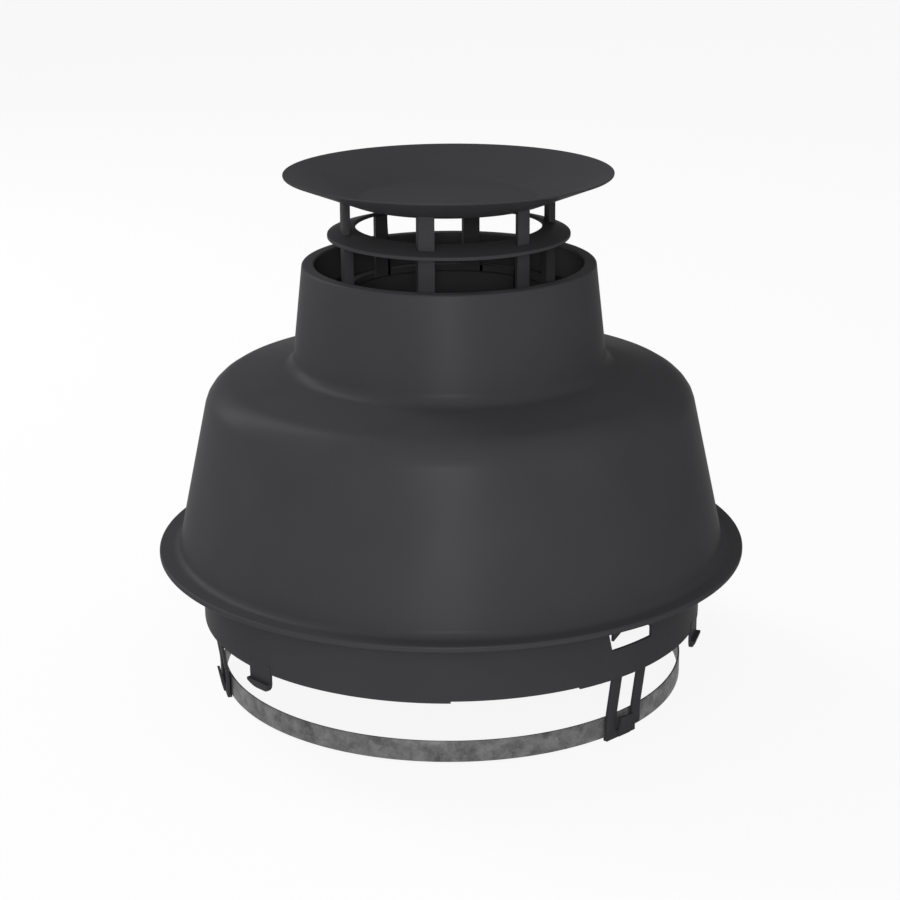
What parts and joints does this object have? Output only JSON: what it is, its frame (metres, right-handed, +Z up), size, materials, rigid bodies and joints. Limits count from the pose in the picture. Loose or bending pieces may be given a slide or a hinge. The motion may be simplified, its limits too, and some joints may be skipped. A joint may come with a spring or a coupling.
{
  "type": "flue cap",
  "caption": "Black plastic roof flue cap: bell-shaped hood, caged outlet under a flared dish, and a galvanised strap that clamps its brackets to a round roof pipe.",
  "frame": {"origin": "on the flue's axis, level with the underside of the bracket feet", "axes": "+Z up along the flue, -Y towards the front of the outlet cage"},
  "size_m": [0.21, 0.21, 0.1842],
  "materials": {
    "charcoal_plastic": "satin",
    "galvanised_steel": "matte"
  },
  "bodies": {
    "cap": {"hood": "charcoal_plastic", "base_collar": "charcoal_plastic", "flue_tube": "charcoal_plastic", "louvre_ring": "charcoal_plastic", "top_dish": "charcoal_plastic", "strap_band": "galvanised_steel", "clamp_nut": "galvanised_steel"},
    "bolt": {"clamp_bolt": "galvanised_steel"}
  },
  "joints": [
    {"name": "clamp_bolt_turn", "type": "hinge", "parent": "cap", "child": "bolt", "pos_m": [-0.04456, 0.08106, 0.0048], "axis": [0.8763, 0.4818, 0], "continuous": true}
  ]
}
